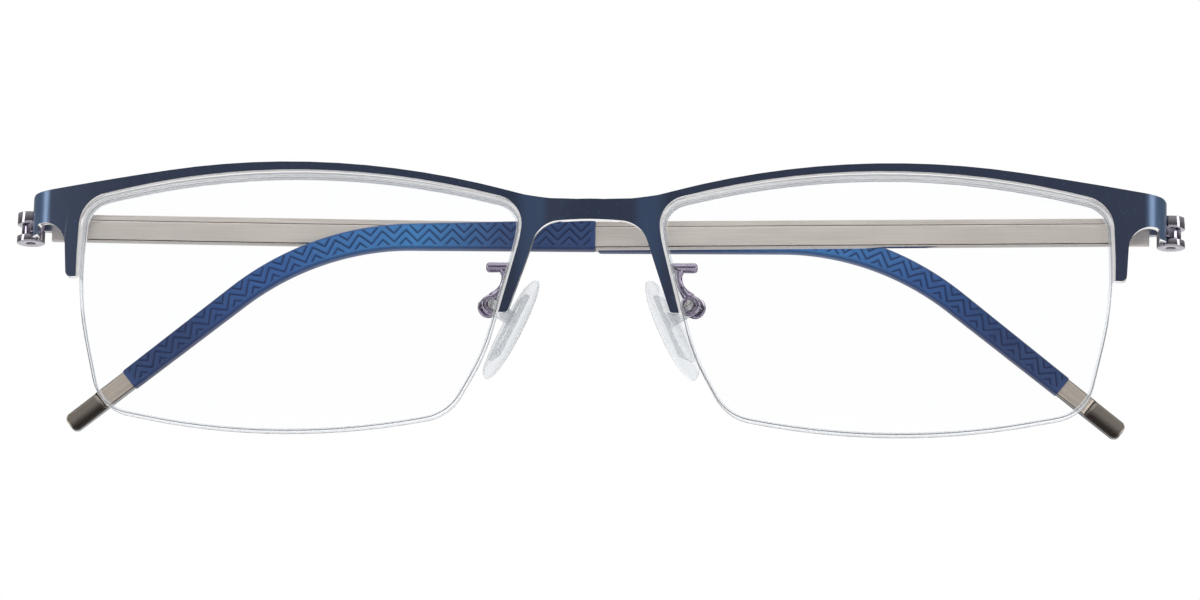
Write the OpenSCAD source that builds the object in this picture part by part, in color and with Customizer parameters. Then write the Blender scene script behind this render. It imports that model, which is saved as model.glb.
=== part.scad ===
// Half-rim spectacles with a stamped metal brow front, nylon-cord lenses and folding temples.
// X is sideways, Y runs from the front of the lenses towards the wearer, Z is up. "Left" is the
// -X side, as someone facing the front sees it. The origin is the nose seat: the middle point
// between the two nose pads. The outlines below are drawn from the bottom of the lenses, with
// Y = 0 at the foremost point of a lens, and in_frame() then moves them to the nose seat.
// The temples are drawn folded, the right one next to the lenses and the left one behind it.

/* [Lenses] */
// Radius of the front surface of a lens
lens_curve = 130; // [110:5:200]
// Thickness of a lens
lens_t = 2; // [1.6:0.1:2.4]
// Angle by which each lens turns back towards its temple
face_form = 4; // [2:0.5:6]
// Width of the groove around a lens
groove_w = 0.6; // [0.5:0.05:0.8]
// Depth of the groove around a lens
groove_d = 0.4; // [0.3:0.05:0.5]

/* [Front] */
// Thickness of the stamped front
sheet_t = 1; // [0.8:0.1:1.2]
// How far the front stands ahead of the lenses
sheet_ahead = 0.6; // [0.4:0.1:0.8]
// How far the bridge bows forward
bridge_bow = 1.6; // [0.8:0.2:2.4]
// Thickness of the half rim between a lens and the front
rim_t = 0.3; // [0.25:0.05:0.4]
// Outer radius of the bend into the end piece
end_bend_r = 3.8; // [3.4:0.1:4]

/* [Hinges] */
// Distance of a hinge pin from the middle
pin_x = 69.4; // [69.2:0.1:69.8]
// Depth of a hinge pin behind the foremost point of a lens
pin_y = 10.4; // [10.3:0.1:11]
// Radius of a hinge pin
pin_r = 0.6; // [0.5:0.05:0.65]
// Radius of the hinge barrel
barrel_r = 1.7; // [1.6:0.05:1.8]
// Running clearance between the pin and the front knuckle
pin_clear = 0.04; // [0.02:0.01:0.06]

/* [Temples] */
// Length of a temple along its middle line, from the hinge pin to the end
temple_len = 140.5; // [135:1:145]
// Length of the straight part of a temple
straight_len = 92; // [88:0.5:95]
// Radius of the bend behind the ear
ear_bend_r = 34; // [30:1:40]
// Angle of the bend behind the ear
ear_bend = 38.4; // [30:1:42]
// Thickness of the metal arm
arm_t = 1; // [0.8:0.1:1.2]
// Place along the temple where the soft sleeve starts
sleeve_start = 69.5; // [65:0.5:75]
// Length of the soft sleeve
sleeve_len = 62; // [58:0.5:63]
// Thickness of the soft sleeve
sleeve_t = 1.8; // [1.6:0.1:1.8]
// Thickness of the metal tip
tip_t = 1.4; // [1.2:0.1:1.6]
// Angle of the folded left temple behind the front
fold_left = 3.5; // [3.3:0.05:3.6]
// Angle of the folded right temple behind the front
fold_right = 0.25; // [0.1:0.05:0.3]
// Angle by which the left temple falls away from level
drop_left = -0.05; // [-0.1:0.05:0.1]
// Angle by which the right temple falls away from level
drop_right = 0.55; // [0.4:0.05:0.6]

/* [Nose pads] */
// Length of a nose pad
pad_len = 14; // [12:0.5:15]
// Width of a nose pad
pad_w = 7; // [6:0.5:7.5]
// Thickness of a nose pad
pad_t = 2.2; // [2:0.1:2.4]
// Lean of the pads towards each other at the top
pad_tilt = 25; // [20:1:28]
// Angle by which the pads open towards the wearer
pad_splay = 22; // [18:1:26]

/* [Hidden] */

fine_fn = 48;
lens_fn = 240;
nudge = 0.01;

// Place of a lens: its middle line and its middle height.
lens_x = 35.3;
lens_z = 15.6;
// Corners of the right lens: distance from the middle, height, radius of the rounding.
lens_corners = [
    [8.35, 27.7, 3.1], [34, 33.6, 115], [62, 28.8, 3.5], [62.4, 17, 40], [59.15, 3.4, 5.7],
    [36.4, -1.8, 80], [16.5, 2.1, 6], [12.4, 9.5, 24], [8.8, 23.6, 15]
];
// Corners of the right half of the front, from the top of the bridge round to its underside.
// The stretch between the two legs lies within the lens, where the lens opening removes it.
leg_end_outer = 19.5;
leg_end_nose = 14.4;
front_corners = [
    [30.4, 34.2, 125], [69.2, 30.25, 1.2], [69.2, 25.2, 0.2], [67.9, 25.2, 0.15],
    [67.9, 26.5, 0.4], [64.35, 26.5, 3], [63.9, leg_end_outer, 0.8], [60, leg_end_outer, 0.1],
    [55, 26, 1], [15, 26, 1], [12, leg_end_nose, 0.1], [9.75, leg_end_nose, 0.45], [6.1, 25.5, 3.2]
];
bridge_corner = [0, 27, 35];
bridge_half = 9;
end_bend_x = 66.2;
end_bend_to = 82;

rim_gap = 0.05;
rim_ahead = 0.15;
rim_behind = 0.25;

// Hinge heights: barrel, its window for the front knuckle, and the knuckle itself.
barrel_z = [25, 28.7];
window_z = [25.85, 27.25];
lug_z = [25.95, 27.15];
window_r = 1.3;
window_arc = [140, 325];
lug_r = 1.15;
pin_recess = 0.35;

// Temple: height of its middle line at the pin, and heights of its parts.
arm_z = 27;
arm_from = 2.6;
arm_h = [3.3, 3.4];
neck_z = [26.5, 28.7];
core_h = 1.6;
core_t = 0.9;
core_end = 136;
sleeve_h = [3.8, 3.1, 2.6];
sleeve_mid = 95;
tip_start = sleeve_start + sleeve_len;
tip_h = 2.35;
tip_corner = 0.8;

// Nose pad hardware, in the pad's own frame: X towards the nose, Y along the screw, Z up the pad.
cup = [-12.2, 4.5, 16.1];
cup_r = 1.3;
cup_wall = [0.6, 0.95];
pad_screw_r = 0.4;
pad_screw_clear = 0.04;
pad_back = 2.6;
pad_drop = 1.2;
pad_dome_r = 18;
core_plate = [0.5, 3.8, 8.4];
boss_r = 0.75;
boss_half = 0.5;

// The nose seat, which is the origin of the part.
seat_y = 5.5;
seat_z = 14.5;

module in_frame() { translate([0, -seat_y, -seat_z]) children(); }
module on_side(side) { mirror([side > 0 ? 1 : 0, 0, 0]) children(); }

function unit(v) = v / norm(v);
function xy(p) = [p[0], p[1]];
function clamp1(x) = max(-1, min(1, x));

// Points of the closed outline with these corners [x, y, radius], each rounded by its radius.
function rounded(corners) = [
    for (i = [0:len(corners) - 1])
        let (
            n = len(corners),
            p = xy(corners[i]),
            u = unit(xy(corners[(i + n - 1) % n]) - p),
            v = unit(xy(corners[(i + 1) % n]) - p),
            half = acos(clamp1(u * v)) / 2,
            r = corners[i][2],
            middle = p + unit(u + v) * r / sin(half),
            from = p + u * r / tan(half) - middle,
            turn = (180 - 2 * half) * (u[0] * v[1] - u[1] * v[0] > 0 ? -1 : 1),
            steps = max(2, ceil(abs(turn) / 9), ceil(r * abs(turn) / 200))
        )
        for (k = [0:steps])
            let (a = turn * k / steps)
            middle + [from[0] * cos(a) - from[1] * sin(a), from[0] * sin(a) + from[1] * cos(a)]
];

// A clockwise outline moved outwards by d.
function grown(outline, d) = [
    for (i = [0:len(outline) - 1])
        let (n = len(outline), t = unit(outline[(i + 1) % n] - outline[(i + n - 1) % n]))
        outline[i] + d * [-t[1], t[0]]
];

// An outline in X and Z, extended from one Y to another.
module prism(outline, y0, y1) {
    translate([0, y1, 0]) rotate([90, 0, 0]) linear_extrude(y1 - y0) polygon(outline);
}

// A round rod between two points.
module rod(a, b, r) {
    d = b - a;
    translate(a)
        rotate([0, acos(d[2] / norm(d)), atan2(d[1], d[0])])
            cylinder(h = norm(d), r = r, $fn = fine_fn);
}

// ---- Lenses, half rims, liners and cords, drawn for the right side ----

lens_outline = rounded(lens_corners);
lens_centre = [lens_x - lens_curve * sin(face_form), lens_curve * cos(face_form), lens_z];

// The layer between two depths behind the front surface of a lens.
module lens_layer(front, back) {
    translate(lens_centre)
        difference() {
            sphere(r = lens_curve - front, $fn = lens_fn);
            sphere(r = lens_curve - back, $fn = lens_fn);
        }
}

// A band that follows the edge of the lens, between two distances out from it.
module edge_band(inner, outer, front, back) {
    intersection() {
        difference() {
            prism(grown(lens_outline, outer), -5, 12);
            prism(grown(lens_outline, inner), -6, 13);
        }
        lens_layer(front, back);
    }
}

// The part of the lens edge that the half rim holds, and the part that the cord holds.
module rim_zone() {
    prism([[4, leg_end_nose], [14, leg_end_nose], [20, 22], [55, 22], [59, leg_end_outer],
           [66, leg_end_outer], [66, 36], [4, 36]], -4, 11);
}

module lens() {
    difference() {
        intersection() {
            prism(lens_outline, -5, 12);
            lens_layer(0, lens_t);
        }
        edge_band(-groove_d, 1, (lens_t - groove_w) / 2, (lens_t + groove_w) / 2);
    }
}

module half_rim() {
    intersection() {
        edge_band(rim_gap, rim_gap + rim_t, -rim_ahead, lens_t + rim_behind);
        rim_zone();
    }
}

// The nylon that fills the groove: a liner under the half rim, and a cord below it.
module groove_nylon() {
    slack = 0.02;
    edge_band(slack - groove_d, rim_gap, (lens_t - groove_w) / 2 + slack,
              (lens_t + groove_w) / 2 - slack);
}

module rim_liner() {
    intersection() {
        groove_nylon();
        rim_zone();
    }
}

module nylon_cord() {
    difference() {
        groove_nylon();
        rim_zone();
    }
}

// ---- Front ----

function lens_y(x) = pow(x - lens_x, 2) / (2 * lens_curve) + (x - lens_x) * tan(face_form);
function lens_slope(x) = (x - lens_x) / lens_curve + tan(face_form);

// Front face of the sheet, seen from above: the bowed bridge, the run over the lens, the bend.
bridge_to_y = lens_y(bridge_half) - sheet_ahead;
function bridge_y(t) = (bridge_to_y - bridge_bow) * (2 * pow(t, 3) - 3 * t * t + 1)
    + bridge_to_y * (3 * t * t - 2 * pow(t, 3))
    + lens_slope(bridge_half) * bridge_half * (pow(t, 3) - t * t);
end_bend_from = atan(lens_slope(end_bend_x));
half_plan = concat(
    [for (x = [1:1:bridge_half - 1]) [x, bridge_y(x / bridge_half)]],
    [for (i = [0:22])
        let (x = bridge_half + (end_bend_x - bridge_half) * i / 22)
        [x, lens_y(x) - sheet_ahead]],
    [for (i = [1:10])
        let (a = end_bend_from + (end_bend_to - end_bend_from) * i / 10)
        [end_bend_x + end_bend_r * (sin(a) - sin(end_bend_from)),
         lens_y(end_bend_x) - sheet_ahead + end_bend_r * (cos(end_bend_from) - cos(a))]]
);
function mirrored(path) = [for (i = [len(path) - 1:-1:0]) [-path[i][0], path[i][1]]];
plan_face = concat(mirrored(half_plan), [[0, bridge_y(0)]], half_plan);
plan_back = [
    for (i = [len(plan_face) - 1:-1:0])
        let (
            t = unit(plan_face[min(i + 1, len(plan_face) - 1)] - plan_face[max(i - 1, 0)])
        )
        plan_face[i] + sheet_t * [-t[1], t[0]]
];
front_outline = rounded(concat(
    [bridge_corner], front_corners,
    [for (i = [len(front_corners) - 1:-1:0])
        [-front_corners[i][0], front_corners[i][1], front_corners[i][2]]]
));

module bent_sheet() {
    translate([0, 0, 10]) linear_extrude(26) polygon(concat(plan_face, plan_back));
}

module front_sheet() {
    color("midnightblue")
        in_frame()
            difference() {
                intersection() {
                    bent_sheet();
                    prism(front_outline, -6, 14);
                }
                for (side = [-1, 1])
                    mirror([side < 0 ? 1 : 0, 0, 0])
                        prism(grown(lens_outline, rim_gap + rim_t), -7, 15);
            }
}

// ---- Hinges, drawn for the left side ----

module tube(r, z, bore, bore_clear) {
    difference() {
        translate([0, 0, z[0]]) cylinder(h = z[1] - z[0], r = r, $fn = fine_fn);
        translate([0, 0, z[0] - 1])
            cylinder(h = z[1] - z[0] + 2, r = bore + bore_clear, $fn = fine_fn);
    }
}

// The front's knuckle, with a tongue that is welded to the end of the sheet.
module hinge_lug() {
    tongue = [[-0.45, 0.3], [0.45, 0.3], [1.3, -1.5], [1.3, -2.3], [0.3, -2.3], [-0.45, -0.9]];
    difference() {
        translate([-pin_x, pin_y, 0])
            difference() {
                union() {
                    translate([0, 0, lug_z[0]])
                        cylinder(h = lug_z[1] - lug_z[0], r = lug_r, $fn = fine_fn);
                    translate([0, 0, lug_z[0]])
                        linear_extrude(lug_z[1] - lug_z[0]) polygon(tongue);
                }
                translate([0, 0, lug_z[0] - 1])
                    cylinder(h = 4, r = pin_r + pin_clear, $fn = fine_fn);
            }
        bent_sheet();
    }
}

module hinge_pin() {
    translate([-pin_x, pin_y, barrel_z[0] + pin_recess])
        cylinder(h = barrel_z[1] - barrel_z[0] - pin_recess + 0.05, r = pin_r, $fn = fine_fn);
}

// ---- Temples, drawn for the left side with the arm along +X from the hinge pin ----

module temple_place(side) {
    on_side(side)
        translate([-pin_x, pin_y, 0])
            rotate([0, 0, side > 0 ? fold_right : fold_left])
                children();
}

module tilted(side) {
    translate([0, 0, arm_z]) rotate([0, side > 0 ? drop_right : drop_left, 0]) children();
}

// Point of the temple's middle line, and the direction square to it, at a length along it.
bend_len = ear_bend_r * ear_bend * PI / 180;
function bend_at(s) = max(0, min(1, (s - straight_len) / bend_len)) * ear_bend;
function spine(s) =
    let (a = bend_at(s), rest = max(0, s - straight_len - bend_len))
    [min(s, straight_len) + ear_bend_r * sin(a) + rest * cos(a),
     -ear_bend_r * (1 - cos(a)) - rest * sin(a)];
function across(s) = [sin(bend_at(s)), cos(bend_at(s))];

// Places along the temple between two lengths: the ends, and steps of the bend between them.
function places(s0, s1) = concat(
    [s0],
    [for (i = [0:12])
        let (s = straight_len + bend_len * i / 12)
        if (s > s0 + 0.5 && s < s1 - 0.5) s],
    [s1]
);
function blend(a, b, t) = a + (b - a) * max(0, min(1, t));
function sleeve_height(s) = s < sleeve_mid
    ? blend(sleeve_h[0], sleeve_h[1], (s - sleeve_start) / (sleeve_mid - sleeve_start))
    : blend(sleeve_h[1], sleeve_h[2], (s - sleeve_mid) / (tip_start - sleeve_mid));

// Outline of a strip along the temple, with half its height given at each place.
function strip(at, halves) = concat(
    [for (i = [0:len(at) - 1]) spine(at[i]) + halves[i] * across(at[i])],
    [for (i = [len(at) - 1:-1:0]) spine(at[i]) - halves[i] * across(at[i])]
);
function level(at, h) = [for (s = at) h / 2];

arm_at = places(arm_from, sleeve_start);
arm_outline = strip(arm_at, [for (s = arm_at) blend(arm_h[0], arm_h[1], s / sleeve_start) / 2]);
core_at = places(sleeve_start - nudge, core_end);
core_outline = strip(core_at, level(core_at, core_h));
sleeve_at = places(sleeve_start, tip_start);
function sleeve_outline(less) = strip(sleeve_at, [for (s = sleeve_at) sleeve_height(s) / 2 - less]);
function with_radius(p, r) = [p[0], p[1], r];
function tip_outline(less) =
    let (h = tip_h / 2 - less, end = temple_len - less, r = tip_corner - less)
    rounded([
        with_radius(spine(tip_start) + h * across(tip_start), 0.05),
        with_radius(spine(end) + h * across(end), r),
        with_radius(spine(end) - h * across(end), r),
        with_radius(spine(tip_start) - h * across(tip_start), 0.05)
    ]);

// The wide open side of the barrel, where the front knuckle's tongue passes.
module barrel_window() {
    translate([0, 0, window_z[0]])
        linear_extrude(window_z[1] - window_z[0])
            polygon(concat(
                [[0, 0]],
                [for (i = [0:8])
                    let (a = window_arc[0] + (window_arc[1] - window_arc[0]) * i / 8)
                    3 * [cos(a), sin(a)]]
            ));
}

module temple_arm(side) {
    color("rosybrown")
        in_frame()
            temple_place(side)
                difference() {
                    union() {
                        translate([0, 0, barrel_z[0]])
                            cylinder(h = barrel_z[1] - barrel_z[0], r = barrel_r, $fn = fine_fn);
                        translate([1, -arm_t / 2, neck_z[0]])
                            cube([arm_from, arm_t, neck_z[1] - neck_z[0]]);
                        tilted(side) {
                            prism(arm_outline, -arm_t / 2, arm_t / 2);
                            prism(core_outline, -core_t / 2, core_t / 2);
                        }
                    }
                    translate([0, 0, window_z[0]])
                        cylinder(h = window_z[1] - window_z[0], r = window_r, $fn = fine_fn);
                    translate([0, 0, barrel_z[0] - 1])
                        cylinder(h = 6, r = pin_r + nudge, $fn = fine_fn);
                    barrel_window();
                }
}

// A strip with its long edges cut back in two steps.
module stepped(wide, narrow, t, edge) {
    prism(wide, -t / 2 + edge, t / 2 - edge);
    prism(narrow, -t / 2, t / 2);
}

module temple_sleeve(side) {
    color("royalblue")
        in_frame()
            temple_place(side)
                tilted(side)
                    difference() {
                        stepped(sleeve_outline(0), sleeve_outline(0.45), sleeve_t, 0.45);
                        prism(core_outline, -core_t / 2, core_t / 2);
                    }
}

module temple_tip(side) {
    color("dimgray")
        in_frame()
            temple_place(side)
                tilted(side)
                    difference() {
                        stepped(tip_outline(0), tip_outline(0.2), tip_t, 0.2);
                        prism(core_outline, -core_t / 2, core_t / 2);
                    }
}

// ---- Nose pads and their arms, drawn for the left side ----

module pad_place(side) {
    on_side(side) translate(cup) rotate([0, pad_tilt, pad_splay]) children();
}

module across_cylinder(r, y0, y1) {
    translate([0, y1, 0]) rotate([90, 0, 0]) cylinder(h = y1 - y0, r = r, $fn = fine_fn);
}

// The cup that holds the pad: two round cheeks and a back wall, drilled for the screw.
module pad_cup() {
    back = [0.4, 2 * cup_wall[1], 2.2];
    difference() {
        union() {
            across_cylinder(cup_r, -cup_wall[1], cup_wall[1]);
        }
        difference() {
            across_cylinder(cup_r + 1, -cup_wall[0], cup_wall[0]);
            translate([-cup_r - back[0], -back[1] / 2, -back[2] / 2])
                cube([2 * back[0], back[1], back[2]]);
        }
        across_cylinder(pad_screw_r + nudge, -2, 2);
    }
}

module pad_arm(side) {
    wire = 0.5;
    knuckle = 0.54;
    foot_r = 0.58;
    foot = [[-9.4, 3.95, 20.75], [-12.6, 3.95, 20.75]];
    stem = [[-10.5, 3.95, 20.75], [-10.4, 4.15, 19.6], [-10.8, 4.45, 18.4], [-11.75, 4.55, 16.95]];
    color("slategray")
        in_frame() {
            pad_place(side) pad_cup();
            on_side(side) {
                rod(foot[0], foot[1], foot_r);
                for (i = [0:len(stem) - 2]) rod(stem[i], stem[i + 1], wire);
                for (i = [1:len(stem) - 2]) translate(stem[i]) sphere(r = knuckle, $fn = fine_fn);
            }
        }
}

module pad_screw(side) {
    head_r = 0.62;
    head_t = 0.25;
    slot = [2 * head_r + 1, 0.12, 0.2];
    front = -cup_wall[1];
    color("silver")
        in_frame()
            pad_place(side)
                difference() {
                    union() {
                        across_cylinder(pad_screw_r, front, cup_wall[1]);
                        across_cylinder(head_r, front - head_t, front);
                    }
                    translate([-slot[0] / 2, front - head_t - nudge, -slot[2] / 2]) cube(slot);
                }
}

// The hard core inside a pad: a plate, and a drilled boss that sits on the screw.
module pad_core_solid(clear, bore) {
    plate_x = pad_back + 0.4;
    difference() {
        union() {
            across_cylinder(boss_r + clear, -boss_half - clear, boss_half + clear);
            translate([0, -boss_half - clear, -boss_r - clear])
                cube([plate_x + 0.1, 2 * (boss_half + clear), 2 * (boss_r + clear)]);
            translate([plate_x - clear, -core_plate[1] / 2 - clear,
                       -pad_drop - core_plate[2] / 2 - clear])
                cube([core_plate[0] + 2 * clear, core_plate[1] + 2 * clear,
                      core_plate[2] + 2 * clear]);
        }
        if (bore) across_cylinder(pad_screw_r + pad_screw_clear, -2, 2);
    }
}

module pad_core(side) {
    color("gainsboro") in_frame() pad_place(side) pad_core_solid(0, true);
}

module nose_pad(side) {
    oval = rounded([
        [pad_w / 2, -pad_len / 2, pad_w / 2 - 0.2], [pad_w / 2, pad_len / 2, pad_w / 2 - 0.2],
        [-pad_w / 2, pad_len / 2, pad_w / 2 - 0.2], [-pad_w / 2, -pad_len / 2, pad_w / 2 - 0.2]
    ]);
    color("whitesmoke")
        in_frame()
            pad_place(side)
                difference() {
                    intersection() {
                        translate([pad_back, 0, -pad_drop])
                            rotate([90, 0, 90]) linear_extrude(pad_t) polygon(oval);
                        translate([pad_back + pad_t - pad_dome_r, 0, -pad_drop])
                            sphere(r = pad_dome_r, $fn = 96);
                    }
                    pad_core_solid(nudge, false);
                }
}

module lens_side(side) { on_side(-side) children(); }

front_sheet();
color("silver") in_frame() lens_side(-1) half_rim();  // half_rim_left
color("silver") in_frame() lens_side(1) half_rim();  // half_rim_right
color("white") in_frame() lens_side(-1) rim_liner();  // rim_liner_left
color("white") in_frame() lens_side(1) rim_liner();  // rim_liner_right
color("azure", 0.3) in_frame() lens_side(-1) lens();  // lens_left
color("azure", 0.3) in_frame() lens_side(1) lens();  // lens_right
color("white") in_frame() lens_side(-1) nylon_cord();  // nylon_cord_left
color("white") in_frame() lens_side(1) nylon_cord();  // nylon_cord_right
color("gray") in_frame() on_side(-1) hinge_lug();  // hinge_lug_left
color("gray") in_frame() on_side(1) hinge_lug();  // hinge_lug_right
color("dimgray") in_frame() on_side(-1) hinge_pin();  // hinge_pin_left
color("dimgray") in_frame() on_side(1) hinge_pin();  // hinge_pin_right
pad_arm(-1);  // pad_arm_left
pad_arm(1);  // pad_arm_right
pad_screw(-1);  // pad_screw_left
pad_screw(1);  // pad_screw_right
pad_core(-1);  // pad_core_left
pad_core(1);  // pad_core_right
nose_pad(-1);  // nose_pad_left
nose_pad(1);  // nose_pad_right
temple_arm(-1);  // temple_arm_left
temple_arm(1);  // temple_arm_right
temple_sleeve(-1);  // temple_sleeve_left
temple_sleeve(1);  // temple_sleeve_right
temple_tip(-1);  // temple_tip_left
temple_tip(1);  // temple_tip_right
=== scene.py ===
"""Half-rim spectacles with folded temples: materials, fine shapes, studio and camera.

Sizes are in millimetres in the design's axes, as in the part's source. row() turns a design point
into the shared frame, in metres. Places inside a material are in metres.
"""

import math

import bmesh
import bpy
from mathutils import Matrix, Vector


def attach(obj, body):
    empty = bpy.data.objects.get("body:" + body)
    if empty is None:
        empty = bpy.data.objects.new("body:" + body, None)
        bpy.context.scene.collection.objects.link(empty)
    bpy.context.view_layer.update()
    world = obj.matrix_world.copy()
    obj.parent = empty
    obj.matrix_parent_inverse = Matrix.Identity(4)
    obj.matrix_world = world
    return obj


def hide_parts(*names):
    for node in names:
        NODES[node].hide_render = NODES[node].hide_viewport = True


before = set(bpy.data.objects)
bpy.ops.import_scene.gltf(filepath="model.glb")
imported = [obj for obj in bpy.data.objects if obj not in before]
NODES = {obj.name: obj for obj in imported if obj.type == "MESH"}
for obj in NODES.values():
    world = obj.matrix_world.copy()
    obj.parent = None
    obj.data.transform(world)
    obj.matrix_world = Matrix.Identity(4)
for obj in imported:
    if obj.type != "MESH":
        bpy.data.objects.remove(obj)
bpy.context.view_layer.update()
MM = 0.001
SIDES = {"left": -1, "right": 1}

SEAT = (5.5, 14.5)  # the shared frame's origin, in the design's y and z

LENS_MID, LENS_Z = 35.3, 15.6
LENS_R, LENS_THICK, LENS_TURN = 130.0, 2.0, math.radians(4)
LENS_CENTRE = (LENS_MID - LENS_R * math.sin(LENS_TURN), LENS_R * math.cos(LENS_TURN), LENS_Z)

BRIDGE_HALF, BRIDGE_BOW = 9.0, 1.6  # half the bowed part of the bridge, and how far it bows
END_FROM, END_R, END_TURN = 66.2, 3.8, math.radians(82)  # the bend at each end of the front

PIN_AT, ARM_Z = (69.4, 10.4), 27.0
STRAIGHT, EAR_R, EAR_TURN = 92.0, 34.0, math.radians(38.4)
FOLD = {"left": 3.5, "right": 0.25}  # degrees that each folded temple slopes away from the front
DROP = {"left": -0.05, "right": 0.55}  # degrees that each one slopes down
ARM_FACE_FROM, SLEEVE_FROM, SLEEVE_TO, END = 7.0, 69.5, 131.5, 140.5
TIP_STEP = SLEEVE_TO + 4.1

CUP = Vector((-12.2, 4.5, 16.1))
PAD_TURN = Matrix.Rotation(math.radians(22), 3, "Z") @ Matrix.Rotation(math.radians(25), 3, "Y")

FLOOR_Z = -0.1


def row(x, y, z):
    """A design point in the shared frame, in metres."""
    return Vector((x, y - SEAT[0], z - SEAT[1])) * MM


# ------------------------------------------------------------------------------------------------
# Shader building
# ------------------------------------------------------------------------------------------------


class Shader:
    """A material's node tree, with short calls for the nodes used here."""

    def __init__(self, name):
        self.material = bpy.data.materials.new(name)
        self.material.use_nodes = True
        self.tree = self.material.node_tree
        self.tree.nodes.clear()
        self.out = self.tree.nodes.new("ShaderNodeOutputMaterial")

    def node(self, kind, inputs=None, **props):
        n = self.tree.nodes.new("ShaderNode" + kind)
        for k, v in props.items():
            setattr(n, k, v)
        for k, v in (inputs or {}).items():
            self.set(n.inputs[k], v)
        return n

    def set(self, socket, value):
        if isinstance(value, bpy.types.NodeSocket):
            self.tree.links.new(value, socket)
        elif isinstance(value, (tuple, list)) and len(value) == 3 and socket.type == "RGBA":
            socket.default_value = (*value, 1)
        else:
            socket.default_value = value

    def math(self, op, a, b=0.0, c=None, clamp=False):
        n = self.node("Math", {0: a, 1: b}, operation=op, use_clamp=clamp)
        if c is not None:
            self.set(n.inputs[2], c)
        return n.outputs[0]

    def step(self, value, low, high, a=0.0, b=1.0):
        """a below low, b above high, and a smooth change between."""
        n = self.node("MapRange", {"Value": value, "From Min": low, "From Max": high,
                                   "To Min": a, "To Max": b}, interpolation_type="SMOOTHSTEP")
        return n.outputs["Result"]

    def mix(self, fac, a, b):
        n = self.node("Mix", data_type="RGBA")
        self.set(n.inputs["Factor"], fac)
        self.set(n.inputs[6], a)
        self.set(n.inputs[7], b)
        return n.outputs[2]

    def blend(self, fac, a, b):
        n = self.node("Mix", data_type="FLOAT")
        self.set(n.inputs["Factor"], fac)
        self.set(n.inputs[2], a)
        self.set(n.inputs[3], b)
        return n.outputs[0]

    def ramp(self, fac, stops):
        n = self.node("ValToRGB", {"Fac": fac})
        e = n.color_ramp.elements
        while len(e) < len(stops):
            e.new(0.5)
        for el, (pos, col) in zip(e, stops):
            el.position = pos
            el.color = (*col, 1)
        return n.outputs["Color"]

    def place(self):
        """The point in the row frame at rest, in metres, and its x, y, z."""
        co = self.node("TexCoord").outputs["Object"]
        s = self.node("SeparateXYZ", {0: co})
        return co, s.outputs[0], s.outputs[1], s.outputs[2]

    def facing(self):
        s = self.node("SeparateXYZ", {0: self.node("TexCoord").outputs["Normal"]})
        return s.outputs[0], s.outputs[1], s.outputs[2]

    def value(self, name):
        return self.node("Attribute", attribute_name=name).outputs["Fac"]

    def scaled(self, vector, scale):
        return self.node("VectorMath", {0: vector, 1: scale}, operation="MULTIPLY").outputs[0]

    def noise(self, vector, scale=1.0, detail=3.0, rough=0.5):
        return self.node("TexNoise", {"Vector": vector, "Scale": scale, "Detail": detail,
                                      "Roughness": rough}).outputs["Fac"]

    def bump(self, height, distance, strength=1.0, normal=None):
        n = self.node("Bump", {"Height": height, "Distance": distance, "Strength": strength})
        if normal is not None:
            self.set(n.inputs["Normal"], normal)
        return n.outputs["Normal"]

    def principled(self, **inputs):
        return self.node("BsdfPrincipled", {k.replace("_", " "): v for k, v in inputs.items()})

    def finish(self, shader):
        out = shader if isinstance(shader, bpy.types.NodeSocket) else shader.outputs[0]
        self.tree.links.new(out, self.out.inputs["Surface"])
        return self.material


# ------------------------------------------------------------------------------------------------
# Materials
# ------------------------------------------------------------------------------------------------


def shade(colour, part):
    return tuple(part * c for c in colour)


def sheet_slope(x):
    """How fast the front runs back at x, between the bridge and the end bend."""
    return (x - LENS_MID) / LENS_R + math.tan(LENS_TURN)


def plan_stops():
    """How far the front's face has turned from facing forwards, at places out from the middle."""
    out, steps = [], 8
    for i in range(steps):
        t = i / steps
        bow = -BRIDGE_BOW * (6 * t * t - 6 * t)
        lead = sheet_slope(BRIDGE_HALF) * BRIDGE_HALF * (3 * t * t - 2 * t)
        out.append((BRIDGE_HALF * t, math.atan((bow + lead) / BRIDGE_HALF)))
    out += [(x, math.atan(sheet_slope(x))) for x in (BRIDGE_HALF, 20, 35, 50, END_FROM)]
    start = out[-1][1]
    for i in range(1, steps + 1):
        a = start + (END_TURN - start) * i / steps
        out.append((END_FROM + END_R * (math.sin(a) - math.sin(start)), a))
    return out


def plan_normal(s, x, true_normal):
    """The smooth normal of the bent sheet's front face, where the mesh's own normal is near it."""
    stops = plan_stops()
    far = stops[-1][0] * MM
    part = s.math("DIVIDE", s.math("ABSOLUTE", x), far)
    # The ramp holds the angle as a grey: 0 is a quarter turn one way, 1 a quarter turn the other.
    greys = [(px * MM / far, (a / math.pi + 0.5,) * 3) for px, a in stops]
    grey = s.node("RGBToBW", {0: s.ramp(part, greys)}).outputs[0]
    angle = s.math("MULTIPLY", s.math("SUBTRACT", grey, 0.5), math.pi)
    nx = s.math("MULTIPLY", s.math("SIGN", x), s.math("SINE", angle))
    ny = s.math("MULTIPLY", s.math("COSINE", angle), -1.0)
    made = s.node("CombineXYZ", {0: nx, 1: ny, 2: 0.0}).outputs[0]
    near = s.node("VectorMath", {0: made, 1: true_normal}, operation="DOT_PRODUCT").outputs["Value"]
    mixed = s.node("Mix", data_type="VECTOR")
    s.set(mixed.inputs["Factor"], s.step(near, 0.93, 0.985))
    s.set(mixed.inputs[4], true_normal)
    s.set(mixed.inputs[5], made)
    turned = s.node("VectorTransform", {0: mixed.outputs[1]}, vector_type="NORMAL",
                    convert_from="OBJECT", convert_to="WORLD")
    return turned.outputs[0]


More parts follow.
